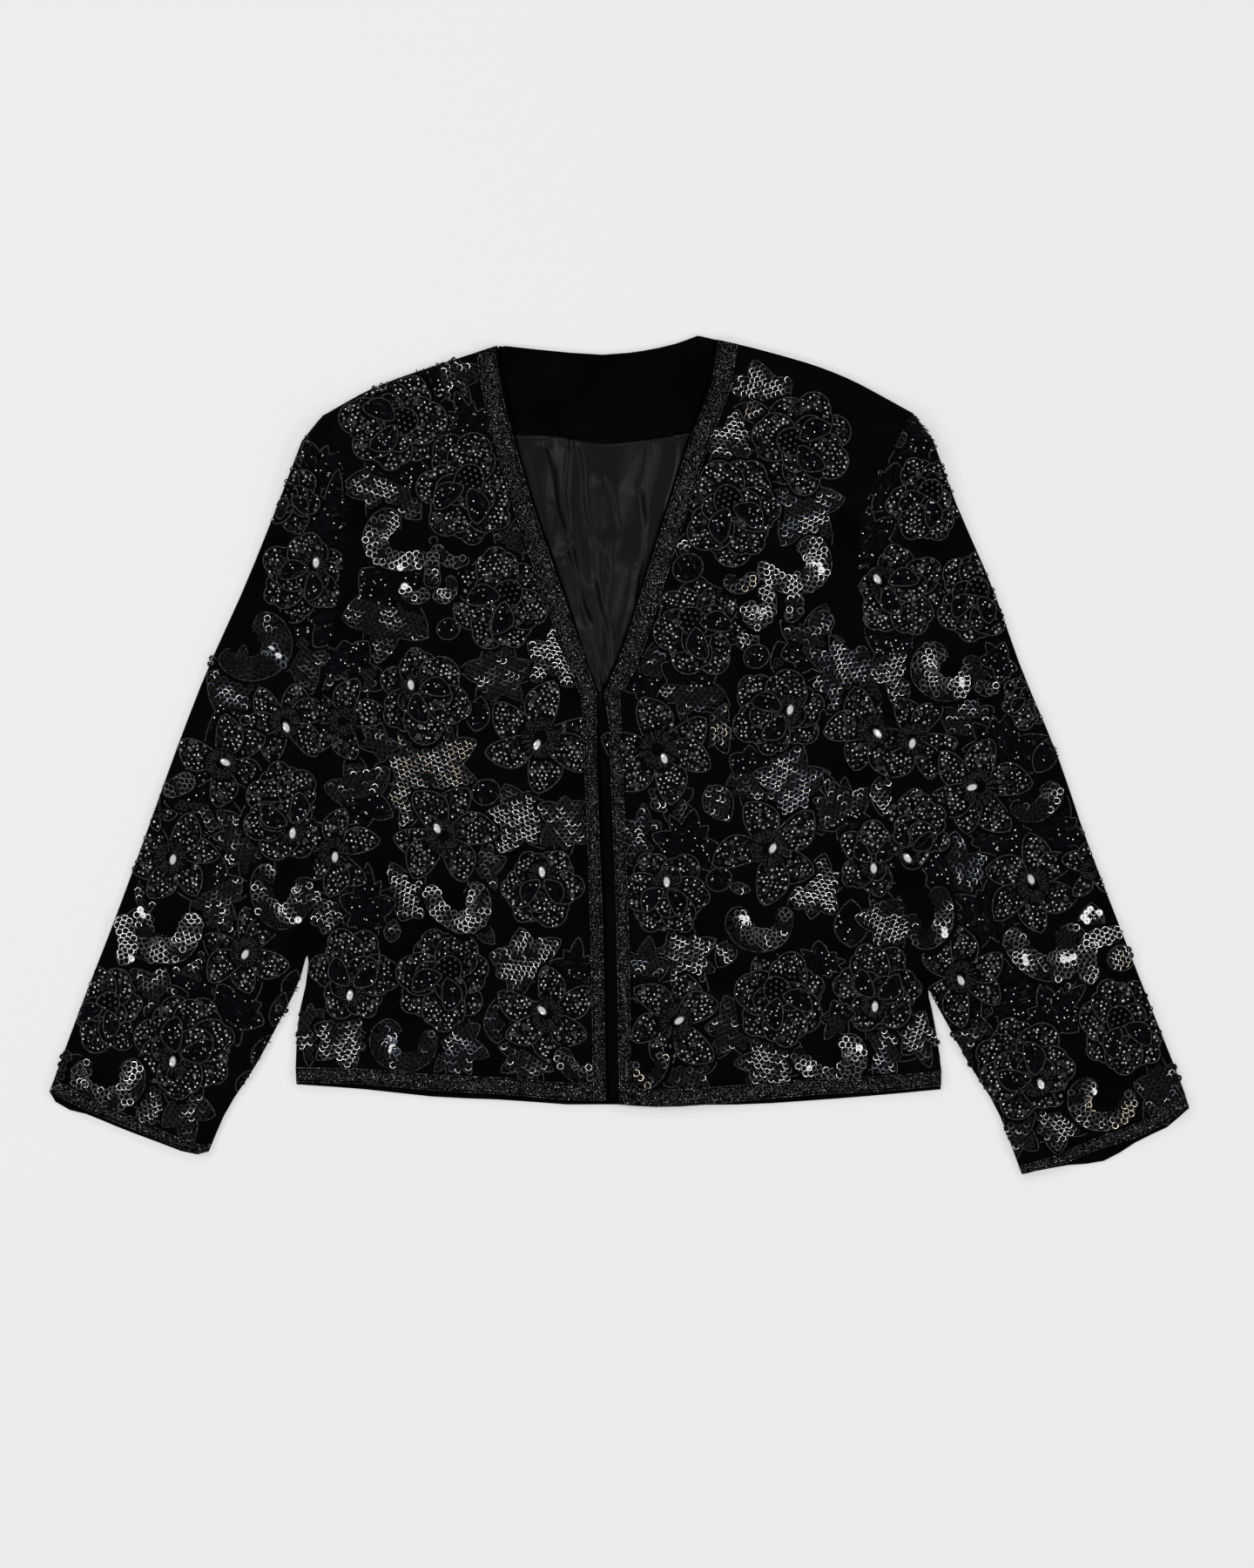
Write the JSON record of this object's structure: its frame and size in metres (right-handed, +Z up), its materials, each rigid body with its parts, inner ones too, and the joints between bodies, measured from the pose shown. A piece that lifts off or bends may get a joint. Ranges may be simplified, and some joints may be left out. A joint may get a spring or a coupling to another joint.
{
  "type": "sequin jacket",
  "caption": "Collarless black velvet evening jacket with long sleeves, beaded edge bands and a V neck, laid out flat.",
  "frame": {"origin": "centre of the jacket's box, on the surface that it lies on", "axes": "+X across the jacket to the right as seen from above with the neck away, +Y from hem to neck, +Z up"},
  "size_m": [0.9154, 0.6732, 0.0137],
  "materials": {
    "velvet": "black velvet",
    "lining_satin": "charcoal satin",
    "beadwork": "black glass seed beads"
  },
  "bodies": {
    "root": {"back": "velvet", "back_lining": "lining_satin", "back_neck_facing": "velvet", "front_left": "velvet", "front_right": "velvet", "sleeve_left": "velvet", "sleeve_right": "velvet", "neck_band_left": "beadwork", "neck_band_right": "beadwork", "hem_band_left": "beadwork", "hem_band_right": "beadwork", "cuff_band_left": "beadwork", "cuff_band_right": "beadwork"}
  },
  "joints": []
}
